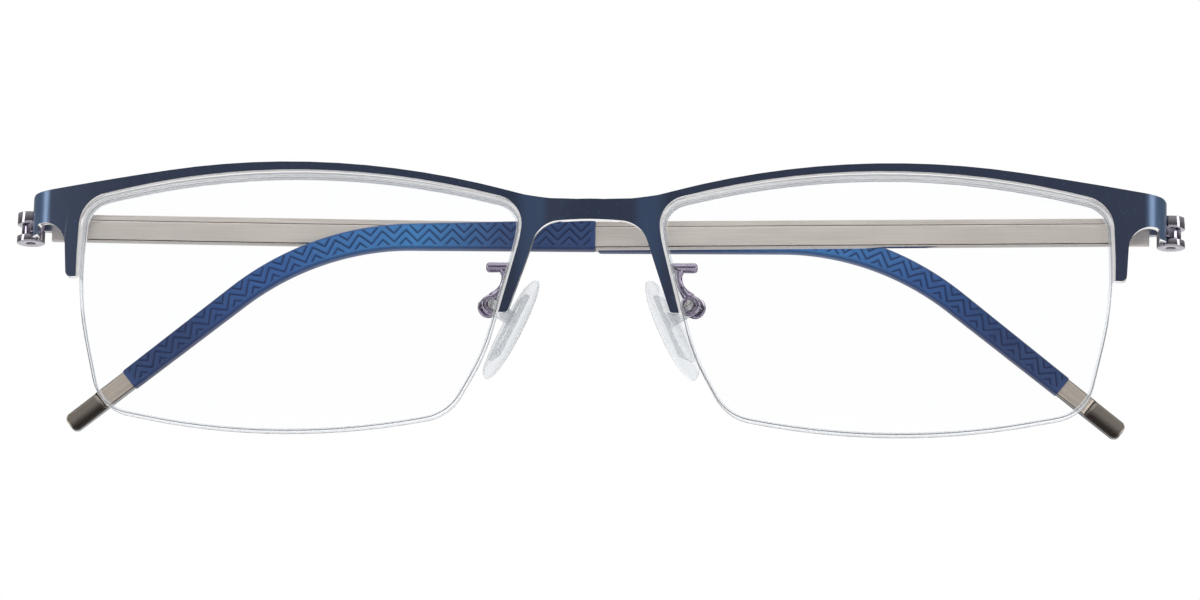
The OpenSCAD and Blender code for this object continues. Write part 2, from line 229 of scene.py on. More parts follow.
def lacquer_material():
    """Navy lacquer with painted highlights at the bridge's bends and past the end bends, and bare cut
    edges.
    """
    s = Shader("navy_lacquer")
    co, x, y, z = s.place()
    nx, ny, nz = s.facing()
    ax, anx, anz = s.math("ABSOLUTE", x), s.math("ABSOLUTE", nx), s.math("ABSOLUTE", nz)
    inside = s.step(ax, 0.0655, 0.0662, 1, 0)
    side_cut = s.math("MULTIPLY", s.step(anx, 0.62, 0.72), inside)
    cut = s.math("MAXIMUM", s.step(anz, 0.6, 0.7), side_cut)
    # Painted shade: near-black along the rounded edges beside the bare cuts.
    painted_side_edge_shade = s.math("MULTIPLY", s.step(anx, 0.4, 0.55), inside)
    corner = s.math("MAXIMUM", s.step(anz, 0.18, 0.42), painted_side_edge_shade)
    flake = s.noise(s.scaled(co, (900, 900, 900)), 4.0, 2.0)
    cloud = s.noise(s.scaled(co, (60, 60, 60)), 1.0, 3.0)
    navy = s.mix(cloud, (0.024, 0.036, 0.072), (0.036, 0.052, 0.098))
    # Painted highlights: lighter navy where the bridge bends and past the end bends.
    painted_bridge_highlight = s.math("MULTIPLY", s.step(ax, 0.0048, 0.0062), s.step(ax, 0.0075, 0.0095, 1, 0))
    painted_end_highlight = s.step(ax, 0.0660, 0.0668)
    navy = s.mix(s.math("MULTIPLY", painted_bridge_highlight, 0.7), navy, (0.050, 0.090, 0.18))
    navy = s.mix(s.math("MULTIPLY", painted_end_highlight, 0.7), navy, (0.075, 0.14, 0.25))
    navy = s.mix(s.step(flake, 0.62, 0.8), navy, (0.06, 0.09, 0.17))
    # Painted shade along the rounded edges.
    navy = s.mix(s.math("MULTIPLY", corner, 0.85), navy, (0.006, 0.008, 0.014))
    colour = s.mix(cut, navy, (0.82, 0.81, 0.80))
    lines = s.noise(s.scaled(co, (300, 5000, 300)), 1.0, 2.0)
    rough = s.blend(cut, s.blend(flake, 0.26, 0.4), s.blend(lines, 0.12, 0.3))
    p = s.principled(Base_Color=colour, Roughness=rough, Metallic=s.blend(cut, 0.55, 1.0),
                     Coat_Weight=0.35, Coat_Roughness=0.12)
    own = s.node("TexCoord").outputs["Normal"]
    s.set(p.inputs["Normal"], s.bump(flake, 0.00001, 0.25, plan_normal(s, x, own)))
    return s.finish(p)


def steel_material(name, base, dark, rough, metal=1.0):
    """Metal with a fine grain and soft worn patches."""
    s = Shader(name)
    co, *_ = s.place()
    grain = s.noise(s.scaled(co, (2500, 2500, 2500)), 1.0, 3.0)
    wear = s.noise(s.scaled(co, (150, 150, 150)), 1.0, 4.0, 0.6)
    colour = s.mix(s.step(wear, 0.35, 0.75), base, dark)
    p = s.principled(Base_Color=colour, Metallic=metal, Roughness=s.blend(grain, *rough))
    s.set(p.inputs["Normal"], s.bump(grain, 0.000006, 0.35))
    return s.finish(p)


def lens_material():
    """Clear faces with a weak gloss; a matt edge wall with a painted glow, and painted shade at its two
    corners.
    """
    s = Shader("clear_lens")
    co, x, y, z = s.place()
    edge = s.step(s.math("ABSOLUTE", s.facing()[1]), 0.35, 0.75, 1, 0)
    # Depth behind the front surface, which is part of a large ball.
    middle = row(*LENS_CENTRE)
    px = s.math("SUBTRACT", s.math("ABSOLUTE", x), middle.x)
    py, pz = s.math("SUBTRACT", y, middle.y), s.math("SUBTRACT", z, middle.z)
    off = s.node("CombineXYZ", {0: px, 1: py, 2: pz}).outputs[0]
    far = s.node("VectorMath", {0: off}, operation="LENGTH").outputs["Value"]
    depth = s.math("SUBTRACT", LENS_R * MM, far)
    # Painted shade: the wall turns dark grey along its two corners, where the lens refracts.
    corner = s.math("MAXIMUM", s.step(depth, 0.00016, 0.00030, 1, 0), s.step(depth, 0.00170, 0.00184))
    smear = s.noise(s.scaled(co, (120, 120, 120)), 1.0, 4.0, 0.6)
    clear = s.node("BsdfTransparent", {"Color": (0.997, 0.998, 1.0)})
    gloss = s.node("BsdfGlossy", {"Color": (0.82, 0.92, 1.0), "Roughness": s.blend(smear, 0.02, 0.06)})
    shine = s.math("MULTIPLY", s.node("Fresnel", {"IOR": 1.45}).outputs[0], 0.12)
    face = s.node("MixShader", {0: shine, 1: clear.outputs[0], 2: gloss.outputs[0]})
    grey = s.mix(corner, (0.90, 0.91, 0.92), (0.20, 0.21, 0.22))
    # Painted light: the edge wall glows white, though it is no lamp.
    painted_glow_wall = s.principled(Base_Color=grey, Roughness=s.blend(smear, 0.25, 0.4), Specular_IOR_Level=0.6,
                        Emission_Color=(1.0, 1.0, 1.0), Emission_Strength=0.45)
    clear_edge = s.node("BsdfTransparent", {"Color": (0.97, 0.975, 0.98)})
    wall = s.node("MixShader", {0: s.blend(corner, 0.45, 0.6), 1: clear_edge.outputs[0],
                                2: painted_glow_wall.outputs[0]})
    return s.finish(s.node("MixShader", {0: edge, 1: face.outputs[0], 2: wall.outputs[0]}))


def nylon_material():
    s = Shader("clear_nylon")
    co, *_ = s.place()
    haze = s.noise(s.scaled(co, (700, 700, 700)), 1.0, 3.0)
    p = s.principled(Base_Color=s.mix(haze, (0.86, 0.87, 0.88), (0.95, 0.95, 0.95)),
                     Roughness=s.blend(haze, 0.2, 0.38), Specular_IOR_Level=0.6)
    clear = s.node("BsdfTransparent", {"Color": (0.95, 0.96, 0.97)})
    return s.finish(s.node("MixShader", {0: 0.22, 1: clear.outputs[0], 2: p.outputs[0]}))


def silicone_material():
    s = Shader("clear_silicone")
    co, *_ = s.place()
    haze = s.noise(s.scaled(co, (350, 350, 350)), 1.0, 4.0)
    rim = s.node("LayerWeight", {"Blend": 0.35}).outputs["Facing"]
    tone = s.mix(haze, (0.78, 0.80, 0.82), (0.95, 0.96, 0.97))
    p = s.principled(Base_Color=tone, Roughness=s.blend(haze, 0.06, 0.16), Specular_IOR_Level=0.7)
    clear = s.node("BsdfTransparent", {"Color": (0.93, 0.94, 0.95)})
    amount = s.step(rim, 0.35, 0.97, 0.1, 0.75)
    return s.finish(s.node("MixShader", {0: amount, 1: clear.outputs[0], 2: p.outputs[0]}))


def core_material():
    s = Shader("pad_core_plastic")
    co, *_ = s.place()
    haze = s.noise(s.scaled(co, (900, 900, 900)), 1.0, 2.0)
    p = s.principled(Base_Color=s.mix(haze, (0.70, 0.72, 0.74), (0.84, 0.85, 0.86)),
                     Roughness=s.blend(haze, 0.1, 0.25), Specular_IOR_Level=0.6)
    clear = s.node("BsdfTransparent", {"Color": (0.92, 0.93, 0.94)})
    return s.finish(s.node("MixShader", {0: 0.5, 1: clear.outputs[0], 2: p.outputs[0]}))


def brushed_base(s, light, dark, streak, cloud, shine):
    """Colour and roughness of pewter, from its streaks and clouds."""
    colour = s.mix(s.step(streak, 0.3, 0.72), dark, light)
    colour = s.mix(s.math("MULTIPLY", cloud, 0.25), colour, shade(light, 0.8))
    return colour, s.blend(streak, shine, shine + 0.16)


def brushed_finish(s, colour, rough, streak):
    p = s.principled(Base_Color=colour, Metallic=0.9, Roughness=rough)
    s.set(p.inputs["Normal"], s.bump(streak, 0.00001, 0.4))
    return s.finish(p)


def arm_material():
    """Pewter brushed along the arm, dark on its top and bottom, with a gunmetal hinge barrel."""
    s = Shader("brushed_pewter")
    co, x, y, z = s.place()
    streak = s.noise(s.scaled(co, (110, 900, 5200)), 1.0, 3.0, 0.6)
    cloud = s.noise(s.scaled(co, (90, 260, 260)), 1.0, 3.0)
    colour, rough = brushed_base(s, (1.0, 0.93, 0.86), (0.9, 0.82, 0.75), streak, cloud, 0.3)
    barrel = s.step(s.math("ABSOLUTE", x), 0.0666, 0.0672)
    side = s.step(s.math("ABSOLUTE", s.facing()[2]), 0.3, 0.6)
    colour = s.mix(s.math("MULTIPLY", side, 0.8), colour, (0.07, 0.06, 0.055))
    colour = s.mix(barrel, colour, s.mix(cloud, (0.40, 0.38, 0.42), (0.26, 0.24, 0.28)))
    rough = s.blend(s.math("MAXIMUM", side, barrel), rough, 0.09)
    return brushed_finish(s, colour, rough, streak)


def mapped_pewter_material(name, light, dark, shine, polished_end=False):
    """Pewter brushed along a piece that carries its place along and across the temple."""
    s = Shader(name)
    along, across, groove = s.value("along"), s.value("across"), s.value("groove")
    at = s.node("CombineXYZ", {0: along, 1: 0.0, 2: across}).outputs[0]
    streak = s.noise(s.scaled(at, (110, 1, 5200)), 1.0, 3.0, 0.6)
    cloud = s.noise(s.scaled(at, (90, 1, 260)), 1.0, 3.0)
    colour, rough = brushed_base(s, light, dark, streak, cloud, shine)
    if polished_end:
        end = s.step(along, TIP_STEP * MM, (TIP_STEP + 0.2) * MM)
        # Painted dark reflection: the polished end's lower half turns near-black.
        low = s.step(across, -0.0007, 0.0004, 1, 0)
        colour = s.mix(end, colour, s.mix(low, shade(light, 0.6), (0.09, 0.075, 0.065)))
        rough = s.blend(end, rough, 0.13)
    # Painted shade, near-black, where the piece's third value says.
    colour = s.mix(groove, colour, (0.025, 0.021, 0.019))
    return brushed_finish(s, colour, s.blend(groove, rough, 0.1), streak)


def rubber_material():
    """Blue silicone with a painted highlight a third of the way along the sleeve, and painted shade in the
    grooves.
    """
    s = Shader("blue_silicone")
    along, across, groove = s.value("along"), s.value("across"), s.value("groove")
    at = s.node("CombineXYZ", {0: along, 1: 0.0, 2: across}).outputs[0]
    fine = s.noise(s.scaled(at, (2600, 1, 2600)), 1.0, 3.0, 0.6)
    cloud = s.noise(s.scaled(at, (120, 1, 120)), 1.0, 3.0)
    past = s.math("SUBTRACT", along, SLEEVE_FROM * MM)
    part = s.math("MULTIPLY", past, 1 / ((SLEEVE_TO - SLEEVE_FROM) * MM))
    # Painted highlight: the blue is brightest a third of the way along the sleeve.
    base = s.ramp(part, [(0.0, (0.020, 0.038, 0.120)), (0.17, (0.024, 0.052, 0.150)),
                         (0.36, (0.045, 0.215, 0.500)), (0.66, (0.028, 0.100, 0.310)),
                         (0.86, (0.020, 0.042, 0.130)), (1.0, (0.022, 0.046, 0.135))])
    colour = s.mix(s.math("MULTIPLY", cloud, 0.3), base, (0.05, 0.13, 0.33))
    speck = s.step(fine, 0.66, 0.8)
    colour = s.mix(s.math("MULTIPLY", speck, 0.35), colour, (0.16, 0.28, 0.50))
    # Painted shade in the grooves and on the rolled edges.
    colour = s.mix(s.math("MULTIPLY", groove, 0.72), colour, (0.006, 0.016, 0.075))
    p = s.principled(Base_Color=colour, Roughness=s.blend(fine, 0.42, 0.6), Specular_IOR_Level=0.35,
                     Sheen_Weight=0.06, Sheen_Roughness=0.5)
    s.set(p.inputs["Normal"], s.bump(fine, 0.00002, 0.35))
    return s.finish(p)


def painted_edge_shade_material():
    """Painted shade where the lens's corner refracts: grey in the open, and pale where the half rim covers
    the edge.
    """
    s = Shader("painted_lens_edge_shade")
    co, x, y, z = s.place()
    grain = s.noise(s.scaled(co, (1500, 1500, 1500)), 1.0, 3.0)
    covered = s.step(z, 0.0, 0.002)
    tone = s.mix(grain, (0.22, 0.225, 0.23), (0.38, 0.385, 0.39))
    p = s.principled(Base_Color=s.mix(covered, tone, (0.9, 0.9, 0.91)),
                     Roughness=s.blend(grain, 0.25, 0.45), Specular_IOR_Level=0.6)
    clear = s.node("BsdfTransparent", {"Color": (0.85, 0.86, 0.87)})
    amount = s.blend(covered, 0.8, 0.3)
    return s.finish(s.node("MixShader", {0: amount, 1: clear.outputs[0], 2: p.outputs[0]}))


def floor_material():
    """Pale floor that only shows from above."""
    s = Shader("pale_floor")
    co, *_ = s.place()
    cloud = s.noise(s.scaled(co, (6, 6, 6)), 1.0, 3.0)
    p = s.principled(Base_Color=s.mix(cloud, (0.84, 0.84, 0.85), (0.88, 0.88, 0.88)), Roughness=0.7)
    clear = s.node("BsdfTransparent", {"Color": (1, 1, 1)})
    back = s.node("NewGeometry").outputs["Backfacing"]
    return s.finish(s.node("MixShader", {0: back, 1: p.outputs[0], 2: clear.outputs[0]}))


LACQUER = lacquer_material()
RIM = steel_material("polished_rim", (1.0, 1.0, 1.0), (0.92, 0.92, 0.92), (0.3, 0.42), metal=0.45)
GUNMETAL = steel_material("gunmetal_chrome", (0.36, 0.32, 0.40), (0.20, 0.17, 0.24), (0.03, 0.1))
PIN = steel_material("pin_steel", (0.70, 0.69, 0.68), (0.5, 0.49, 0.48), (0.12, 0.3))
LENS = lens_material()
PAINTED_EDGE_SHADE = painted_edge_shade_material()
NYLON = nylon_material()
SILICONE = silicone_material()
CORE = core_material()
PEWTER = arm_material()
PEWTER_FACE = mapped_pewter_material("brushed_pewter_face", (1.0, 0.93, 0.85), (0.93, 0.85, 0.77), 0.3)
TIP_METAL = mapped_pewter_material("brushed_tip", (0.90, 0.80, 0.69), (0.76, 0.67, 0.58), 0.24, True)
RUBBER = rubber_material()

# ------------------------------------------------------------------------------------------------
# CAD nodes that stay: softened edges and materials
# ------------------------------------------------------------------------------------------------


def soften(o, width):
    """Joins the faces' shared edges and rounds the sharp ones by a small width."""
    o.data.polygons.foreach_set("use_smooth", [True] * len(o.data.polygons))
    weld = o.modifiers.new("weld", "WELD")
    weld.merge_threshold = 0.000002
    bevel = o.modifiers.new("edge", "BEVEL")
    bevel.width = width * MM
    bevel.segments = 2
    bevel.limit_method = "ANGLE"
    bevel.angle_limit = math.radians(38)
    bevel.use_clamp_overlap = True
    bevel.harden_normals = False
    normals = o.modifiers.new("normals", "WEIGHTED_NORMAL")
    normals.keep_sharp = False
    normals.weight = 50


def dress(node, material, width=None):
    o = NODES[node]
    o.data.materials.clear()
    o.data.materials.append(material)
    if width:
        soften(o, width)


dress("front_sheet", LACQUER, 0.13)
for name in SIDES:
    dress("half_rim_" + name, RIM)
    dress("rim_liner_" + name, NYLON)
    dress("nylon_cord_" + name, NYLON)
    dress("lens_" + name, LENS)
    dress("hinge_lug_" + name, GUNMETAL, 0.06)
    dress("hinge_pin_" + name, PIN, 0.06)
    dress("pad_arm_" + name, GUNMETAL)
    dress("pad_screw_" + name, PIN)
    dress("pad_core_" + name, CORE)
    dress("temple_arm_" + name, PEWTER, 0.12)

# ------------------------------------------------------------------------------------------------
# Pieces along the temples
# ------------------------------------------------------------------------------------------------


def spine(s):
    """Middle line of a temple and the direction square to it, in its own plane."""
    ear_length = EAR_R * EAR_TURN
    a = EAR_TURN * min(1, max(0, (s - STRAIGHT) / ear_length))
    rest = max(0, s - STRAIGHT - ear_length)
    u = min(s, STRAIGHT) + EAR_R * math.sin(a) + rest * math.cos(a)
    w = -EAR_R * (1 - math.cos(a)) - rest * math.sin(a)
    return (u, w), (math.sin(a), math.cos(a))


def on_temple(side, s, h, t):
    """A point s along the temple, h above its middle line and t in front of its middle plane."""
    (u, w), n = spine(s)
    u, w = u + h * n[0], w + h * n[1]
    d, f = math.radians(DROP[side]), math.radians(FOLD[side])
    u, w = u * math.cos(d) + w * math.sin(d), -u * math.sin(d) + w * math.cos(d)
    x, y = u * math.cos(f) + t * math.sin(f), u * math.sin(f) - t * math.cos(f)
    return row(-SIDES[side] * (x - PIN_AT[0]), PIN_AT[1] + y, ARM_Z + w)


def mesh_piece(name, verts, faces, material, body, values=None, sharp=None):
    """A new piece that rides on a body, with named values at its vertices. sharp is in degrees."""
    mesh = bpy.data.meshes.new(name)
    mesh.from_pydata(verts, [], faces)
    for key, column in (values or {}).items():
        mesh.attributes.new(key, "FLOAT", "POINT").data.foreach_set("value", column)
    bm = bmesh.new()
    bm.from_mesh(mesh)
    bmesh.ops.recalc_face_normals(bm, faces=bm.faces)
    bm.to_mesh(mesh)
    bm.free()
    mesh.polygons.foreach_set("use_smooth", [True] * len(mesh.polygons))
    if sharp:
        mesh.set_sharp_from_angle(angle=math.radians(sharp))
    mesh.materials.append(material)
    o = bpy.data.objects.new(name, mesh)
    bpy.context.scene.collection.objects.link(o)
    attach(o, body)
    return o


def skin(rings, closed=False):
    """Vertices and faces over a row of rings, capped at both ends unless the row is closed."""
    n, verts = len(rings[0]), [v for ring in rings for v in ring]
    faces = []
    for i in range(len(rings) if closed else len(rings) - 1):
        a, b = i * n, (i + 1) % len(rings) * n
        faces += [(a + k, a + (k + 1) % n, b + (k + 1) % n, b + k) for k in range(n)]
    if not closed:
        faces += [tuple(range(n - 1, -1, -1)), tuple(range(len(verts) - n, len(verts)))]
    return verts, faces


def loft(name, side, stations, section, material, body, sharp=None):
    """A piece through the rings of (h, t, g) that section(s) gives at each station, where g is how much
    shade is painted there.
    """
    sections = [(s, section(s)) for s in stations]
    verts, faces = skin([[on_temple(side, s, h, t) for h, t, g in ring] for s, ring in sections])
    values = {"along": [s * MM for s, ring in sections for q in ring],
              "across": [h * MM for s, ring in sections for h, t, g in ring],
              "groove": [g for s, ring in sections for h, t, g in ring]}
    return mesh_piece(name, verts, faces, material, body, values, sharp)


def smooth(x):
    x = min(1, max(0, x))
    return x * x * (3 - 2 * x)


def zigzag(s, h, low, high):
    """Depth, 0 to 1, of the zigzag grooves at a place on the sleeve's face."""
    period, swing, spacing, half_width, margin = 2.85, 1.42, 1.04, 0.19, 0.5
    phase = (s / period) % 1
    middle = (4 * phase - 1 if phase < 0.5 else 3 - 4 * phase) * swing / 2
    away = min(abs(h - (k * spacing + middle)) for k in range(-3, 4)) / math.hypot(1, 2 * swing / period)
    inside = smooth((h - low) / 0.16) * smooth((high - h) / 0.16)
    ends = smooth((s - SLEEVE_FROM - margin) / 0.2) * smooth((SLEEVE_TO - margin - s) / 0.2)
    return smooth((half_width - away) / half_width * 1.25) * inside * ends


def sleeve_height(s):
    """Tapers from its start to the ear bend, and again to its end."""
    start, bend, end, bend_at = 3.8, 3.1, 2.6, 95
    if s < bend_at:
        return start + (bend - start) * (s - SLEEVE_FROM) / (bend_at - SLEEVE_FROM)
    return bend + (end - bend) * (s - bend_at) / (SLEEVE_TO - bend_at)


def sleeve_section(s):
    """A rounded bar with both faces grooved, drawn in a little at the sleeve's ends."""
    steps, r, deep = 42, 0.38, 0.17
    end = min(s - SLEEVE_FROM, SLEEVE_TO - s)
    pinch = 0.22 * (1 - math.sqrt(max(0, 1 - (1 - min(1, end / 0.3)) ** 2)))
    half, t = sleeve_height(s) / 2 - pinch, 0.9 - pinch
    ring = []
    for face in (1, -1):
        for i in range(steps + 1):
            h = (half - r) * (2 * i / steps - 1) * face
            # The groove depth g also paints shade in the grooves.
            g = zigzag(s, h, -half + 0.40, half - 0.17)
            ring.append((h, face * (t - deep * g), g))
        # The rolled edges get painted shade, deeper towards the edge.
        for k, way in [(k, face) for k in range(1, 5)] + [(k, -face) for k in range(4, 0, -1)]:
            a = math.pi / 10 * k
            ring.append((face * (half - r + r * math.sin(a)), way * (t - r + r * math.cos(a)),
                         min(1.0, 0.35 + 0.2 * k)))
    return ring


def sleeve_stations():
    """Close together at the rounded ends, and evenly between them."""
    ends, steps = [0, 0.04, 0.1, 0.18, 0.3], 520
    span = SLEEVE_TO - SLEEVE_FROM - 2 * ends[-1]
    out = [SLEEVE_FROM + e for e in ends]
    out += [SLEEVE_FROM + ends[-1] + span * i / steps for i in range(1, steps)]
    out += [SLEEVE_TO - e for e in reversed(ends)]
    return out


def tip_side(half, front, back, r, way):
    """The rounded side of the tip, from its front face to its back face."""
    turns = [math.pi / 8 * k for k in (1, 2, 3)]
    # The third value, 0.8 to 1.0, paints shade on the tip's rounded side.
    ring = [(way * (half - r + r * math.sin(a)), front - r + r * math.cos(a), 0.8) for a in turns]
    ring.append((way * half, front - r - 0.02, 1.0))
    for a in reversed(turns):
        ring.append((way * (half - r + r * math.sin(a)), back + r - r * math.cos(a), 0.8))
    return ring


def tip_section(s):
    """A rounded metal end: brushed near the sleeve, a cut step, and a thinner end."""
    half, corner, r, steps = 1.175, 0.8, 0.18, 14
    left = END - s
    if left < corner:
        half -= corner - math.sqrt(max(0, corner ** 2 - (corner - left) ** 2))
    front, back = 0.7 - 0.16 * smooth((s - TIP_STEP) / 0.12), -0.7
    if left < 0.2:
        front -= 0.2 - math.sqrt(max(0, 0.04 - (0.2 - left) ** 2))
    cut = 0.2 * max(0, 1 - abs(s - TIP_STEP) / 0.22)
    flat = [(half - r) * (2 * i / steps - 1) for i in range(steps + 1)]
    # The third value paints shade in the cut step.
    ring = [(h, front - cut, min(1.0, cut / 0.15)) for h in flat]
    ring += tip_side(half, front, back, r, 1)
    ring += [(h, back, 0.0) for h in reversed(flat)]
    return ring + tip_side(half, front, back, r, -1)[::-1]


def tip_stations():
    """Close together at the cut step and at the rounded end."""
    out = [SLEEVE_TO + 0.2 * i for i in range(20)]
    out += [TIP_STEP + d for d in (-0.15, -0.1, -0.05, 0, 0.05, 0.1, 0.16, 0.3)]
    out += [TIP_STEP + 0.5 + 0.2 * i for i in range(18)]
    out += [END - d for d in (0.8, 0.7, 0.6, 0.5, 0.4, 0.3, 0.2, 0.13, 0.07, 0.03, 0.005)]
    return sorted(set(round(v, 4) for v in out))


def arm_face_section(s):
    """The raised inner face of the metal arm, which leaves a band free along the top edge."""
    height, top = 3.3 + 0.1 * s / SLEEVE_FROM, 0.6
    low, high = -height / 2 + 0.16, height / 2 - 0.62
    # The third value paints near-black shade along the raised face's stepped edges.
    return [(low, 0.45, 1.0), (low, top - 0.05, 1.0), (low + 0.1, top - 0.02, 0.9), (low + 0.14, top, 0.0),
            (high - 0.2, top, 0.0), (high - 0.16, top - 0.02, 0.9), (high, 0.49, 1.0), (high, 0.45, 1.0)]


def arm_face_stations():
    steps = 24
    return [ARM_FACE_FROM + (SLEEVE_FROM - ARM_FACE_FROM) * i / steps for i in range(steps + 1)]


for name in SIDES:
    body = "temple_" + name
    sleeve = loft("sleeve_" + name, name, sleeve_stations(), sleeve_section, RUBBER, body)
    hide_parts("temple_sleeve_" + name)
    tip = loft("tip_" + name, name, tip_stations(), tip_section, TIP_METAL, body, 40)
    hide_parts("temple_tip_" + name)
    loft("arm_face_" + name, name, arm_face_stations(), arm_face_section, PEWTER_FACE, body,
         12)

# ------------------------------------------------------------------------------------------------
# Nose pads
# ------------------------------------------------------------------------------------------------


def on_pad(side, p):
    """A point in the pad's own axes: out through its face, across it, and up it."""
    q = PAD_TURN @ Vector(p) + CUP
    return row(-SIDES[side] * q.x, q.y, q.z)


def nose_pad(side):
    """A crowned oval: a full face, a rolled rim, and a hollow back around the boss."""
    turns, steps, wide, tall, drop = 64, 12, 3.45, 6.95, 1.2
    hollow = [(0.2, 0.42), (0.42, 0.4), (0.62, 0.34), (0.78, 0.3), (0.88, 0.4), (0.95, 0.62), (0.985, 0.95)]
    crown = [math.pi / 2 * k / steps for k in range(steps)]
    profile = hollow + [(math.cos(a) ** 0.85, 1.25 + 0.93 * math.sin(a) ** 1.1) for a in crown]
    rings = []
    for r, out in profile:
        ring = []
        for i in range(turns):
            a = 2 * math.pi * i / turns
            c, s = math.cos(a), math.sin(a)
            y = wide * r * math.copysign(abs(c) ** 0.92, c)
            up = tall * r * math.copysign(abs(s) ** 0.92, s)
            narrow = 1 - 0.025 * up / 7
            ring.append(on_pad(side, (2.5 + out, y * narrow, up - drop)))
        rings.append(ring)
    verts, faces = skin(rings)
    pad = mesh_piece("pad_" + side, verts, faces, SILICONE, "pad_" + side)
    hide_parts("nose_pad_" + side)


for name in SIDES:
    nose_pad(name)

# ------------------------------------------------------------------------------------------------
# Lens corners: a thin line of painted shade at the front and the back corner of each lens, where it
# refracts
# ------------------------------------------------------------------------------------------------

LENS_CORNERS = [  # x, z and corner radius
    (8.35, 27.7, 3.1), (34, 33.6, 115), (62, 28.8, 3.5), (62.4, 17, 40), (59.15, 3.4, 5.7),
    (36.4, -1.8, 80), (16.5, 2.1, 6), (12.4, 9.5, 24), (8.8, 23.6, 15),
]


def rounded(corners):
    """Points along an outline whose corners are arcs."""
    out = []
    for i, (x, z, r) in enumerate(corners):
        q = Vector((x, z))
        u = (Vector(corners[i - 1][:2]) - q).normalized()
        v = (Vector(corners[(i + 1) % len(corners)][:2]) - q).normalized()
        half = math.acos(max(-1, min(1, u.dot(v)))) / 2
        mid = q + (u + v).normalized() * r / math.sin(half)
        start = q + u * r / math.tan(half) - mid
        turn = (math.pi - 2 * half) * (-1 if u.x * v.y - u.y * v.x > 0 else 1)
        n = max(4, math.ceil(abs(math.degrees(turn)) / 5), math.ceil(r * abs(turn) / 2.5))
        for k in range(n + 1):
            a = turn * k / n
            out.append(mid + Vector((start.x * math.cos(a) - start.y * math.sin(a),
                                     start.x * math.sin(a) + start.y * math.cos(a))))
    return out


def grown(points, d):
    """A closed outline moved square to itself by d."""
    out = []
    for i, q in enumerate(points):
        t = (points[(i + 1) % len(points)] - points[i - 1]).normalized()
        out.append(q + d * Vector((-t.y, t.x)))
    return out


def tube_rings(points, radii, sides, closed=False):
    """Rings of points round a line, kept from twisting."""
    rings, n, up = [], len(points), None
    for i, q in enumerate(points):
        a = points[i - 1] if i or closed else q
        b = points[(i + 1) % n] if i < n - 1 or closed else q
        d = (b - a).normalized()
        if up is None:
            up = d.orthogonal().normalized()
        up = (up - d * up.dot(d)).normalized()
        w = d.cross(up)
        rings.append([q + radii[i] * (math.cos(t) * up + math.sin(t) * w)
                      for t in (2 * math.pi * k / sides for k in range(sides))])
    return rings


def lens_edge(side, where, ball, shift):
    """A thin line of painted shade along a lens's corner, on a ball round the lens's centre of curvature.
    """
    radius, inset = 0.065 * MM, 0.05
    cx, cy, cz = LENS_CENTRE
    points = []
    for q in grown(rounded(LENS_CORNERS), -inset):
        y = cy - math.sqrt(ball ** 2 - (q.x - cx) ** 2 - (q.y - cz) ** 2) + shift
        points.append(row(SIDES[side] * q.x, y, q.y))
    verts, faces = skin(tube_rings(points, [radius] * len(points), 6, True), True)
    mesh_piece("lens_edge_" + where + "_" + side, verts, faces, PAINTED_EDGE_SHADE, "front")


for name in SIDES:
    lens_edge(name, "front", LENS_R, 0.03)
    lens_edge(name, "back", LENS_R - LENS_THICK, -0.03)

# ------------------------------------------------------------------------------------------------
# Nose pad mounts: foot, flared stem and round cup
# ------------------------------------------------------------------------------------------------


def through(points, steps=5):
    """A smooth line through points of (x, y, z, radius)."""
    out = []
    for i in range(len(points) - 1):
        four = (points[max(0, i - 1)], points[i], points[i + 1], points[min(len(points) - 1, i + 2)])
        for k in range(steps):
            t = k / steps
            shares = (-0.5 * t ** 3 + t * t - 0.5 * t, 1.5 * t ** 3 - 2.5 * t * t + 1,
                      -1.5 * t ** 3 + 2 * t * t + 0.5 * t, 0.5 * t ** 3 - 0.5 * t * t)
            out.append([sum(w * q[j] for w, q in zip(shares, four)) for j in range(4)])
    out.append(list(points[-1]))
    return out


def joined(parts):
    """Several sets of vertices and faces as one."""
    verts, faces = [], []
    for more_verts, more_faces in parts:
        base = len(verts)
        verts += more_verts
        faces += [tuple(base + i for i in f) for f in more_faces]
    return verts, faces


def mount_rod(side, points):
    """A round bar through left-hand points of (x, y, z, radius)."""
    line = [row(-SIDES[side] * x, y, z) for x, y, z, r in points]
    return skin(tube_rings(line, [r * MM for x, y, z, r in points], 20))


def cup_cheek(side, way):
    """A dished ring on one side of the cup."""
    outline = [(0.42, 0.62), (1.12, 0.62), (1.25, 0.67), (1.31, 0.78), (1.29, 0.9), (1.19, 1.0),
               (1.04, 1.04), (0.88, 1.02), (0.76, 0.96), (0.68, 0.93), (0.42, 0.93)]
    turns, rings = 40, []
    for i in range(turns):
        a = 2 * math.pi * i / turns
        rings.append([on_pad(side, (r * math.cos(a), way * y, r * math.sin(a))) for r, y in outline])
    return skin(rings, True)


def cup_wall(side):
    """The quarter turn of wall that joins the cup's two cheeks."""
    outline = [(0.96, -0.7), (1.2, -0.7), (1.31, -0.5), (1.31, 0.5), (1.2, 0.7), (0.96, 0.7)]
    start, turn, steps, rings = math.radians(135), math.radians(90), 12, []
    for i in range(steps + 1):
        a = start + turn * i / steps
        rings.append([on_pad(side, (r * math.cos(a), y, r * math.sin(a))) for r, y in outline])
    return skin(rings)


